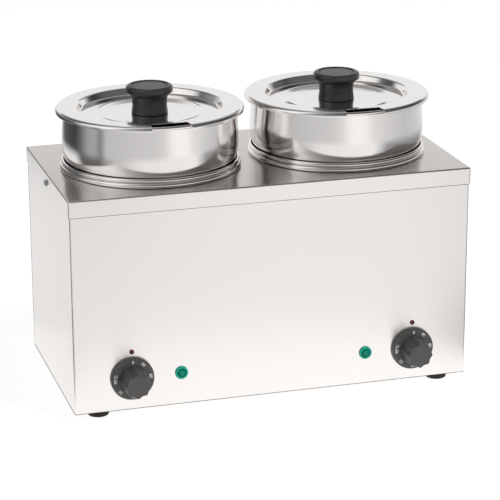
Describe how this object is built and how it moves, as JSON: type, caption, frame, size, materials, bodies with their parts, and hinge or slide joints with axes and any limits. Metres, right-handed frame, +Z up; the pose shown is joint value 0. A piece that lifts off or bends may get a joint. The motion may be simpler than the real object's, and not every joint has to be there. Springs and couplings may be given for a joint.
{
  "type": "soup kettle",
  "caption": "Electric soup kettle: a brushed stainless case on rubber feet with lift-out pots, notched lids, dial thermostats and pilot lamps.",
  "frame": {"origin": "on the floor under the middle of the whole footprint, knobs and cord gland included", "axes": "+Z up, +X along the long side to the right as seen from the front, the control panel faces -Y"},
  "size_m": [0.505, 0.303, 0.3745],
  "materials": {
    "brushed_steel": "brushed stainless sheet",
    "polished_steel": "polished stainless",
    "zinc": "zinc-plated steel",
    "black_plastic": "moulded, fine satin",
    "rubber": "matte",
    "green_lens": "translucent, glossy",
    "green_plastic": "glossy",
    "red_plastic": "glossy",
    "cutout_plastic": "matte",
    "copper": "drawn copper tube",
    "heater_steel": "heat-tinted tube",
    "grey_plastic": "matte"
  },
  "bodies": {
    "case": {"front_side_wrap": "brushed_steel", "rear_panel": "brushed_steel", "base_plate": "brushed_steel", "top_tray": "brushed_steel", "rear_lower_left_screw": "zinc", "rear_lower_right_screw": "zinc", "rear_upper_left_screw": "zinc", "rear_upper_right_screw": "zinc", "left_tray_screw": "zinc", "right_tray_screw": "zinc", "front_left_foot": "rubber", "front_left_foot_screw": "zinc", "front_right_foot": "rubber", "front_right_foot_screw": "zinc", "rear_left_foot": "rubber", "rear_left_foot_screw": "zinc", "rear_right_foot": "rubber", "rear_right_foot_screw": "zinc", "left_collar": "polished_steel", "left_well": "brushed_steel", "left_heater_ring": "heater_steel", "left_heater_plate": "zinc", "left_heater_nut": "zinc", "left_thermal_cutout": "cutout_plastic", "left_thermostat": "grey_plastic", "left_sensor": "copper", "left_loom": "grey_plastic", "left_lamp_bezel": "green_plastic", "left_lamp_lens": "green_lens", "left_index_stud": "red_plastic", "right_collar": "polished_steel", "right_well": "brushed_steel", "right_heater_ring": "heater_steel", "right_heater_plate": "zinc", "right_heater_nut": "zinc", "right_thermal_cutout": "cutout_plastic", "right_thermostat": "grey_plastic", "right_sensor": "copper", "right_loom": "grey_plastic", "right_lamp_bezel": "green_plastic", "right_lamp_lens": "green_lens", "right_index_stud": "red_plastic", "cord_gland": "black_plastic", "cord_gland_nut": "black_plastic", "terminal_block": "cutout_plastic", "earth_stud": "zinc"},
    "left_pot": {"left_pot": "polished_steel"},
    "left_lid": {"left_lid": "polished_steel", "left_lid_knob": "black_plastic", "left_lid_washer": "zinc", "left_lid_screw": "zinc"},
    "left_dial": {"left_dial_knob": "black_plastic", "left_spindle": "zinc"},
    "right_pot": {"right_pot": "polished_steel"},
    "right_lid": {"right_lid": "polished_steel", "right_lid_knob": "black_plastic", "right_lid_washer": "zinc", "right_lid_screw": "zinc"},
    "right_dial": {"right_dial_knob": "black_plastic", "right_spindle": "zinc"}
  },
  "joints": [
    {"name": "left_pot_lift", "type": "slide", "parent": "case", "child": "left_pot", "axis": [0, 0, 1], "range_m": [0, 0.2]},
    {"name": "left_lid_lift", "type": "slide", "parent": "left_pot", "child": "left_lid", "axis": [0, 0, 1], "range_m": [0, 0.12]},
    {"name": "left_dial_turn", "type": "hinge", "parent": "case", "child": "left_dial", "pos_m": [-0.178, -0.131, 0.048], "axis": [0, 1, 0], "range_deg": [0, 325]},
    {"name": "right_pot_lift", "type": "slide", "parent": "case", "child": "right_pot", "axis": [0, 0, 1], "range_m": [0, 0.2]},
    {"name": "right_lid_lift", "type": "slide", "parent": "right_pot", "child": "right_lid", "axis": [0, 0, 1], "range_m": [0, 0.12]},
    {"name": "right_dial_turn", "type": "hinge", "parent": "case", "child": "right_dial", "pos_m": [0.178, -0.131, 0.048], "axis": [0, 1, 0], "range_deg": [0, 325]}
  ]
}
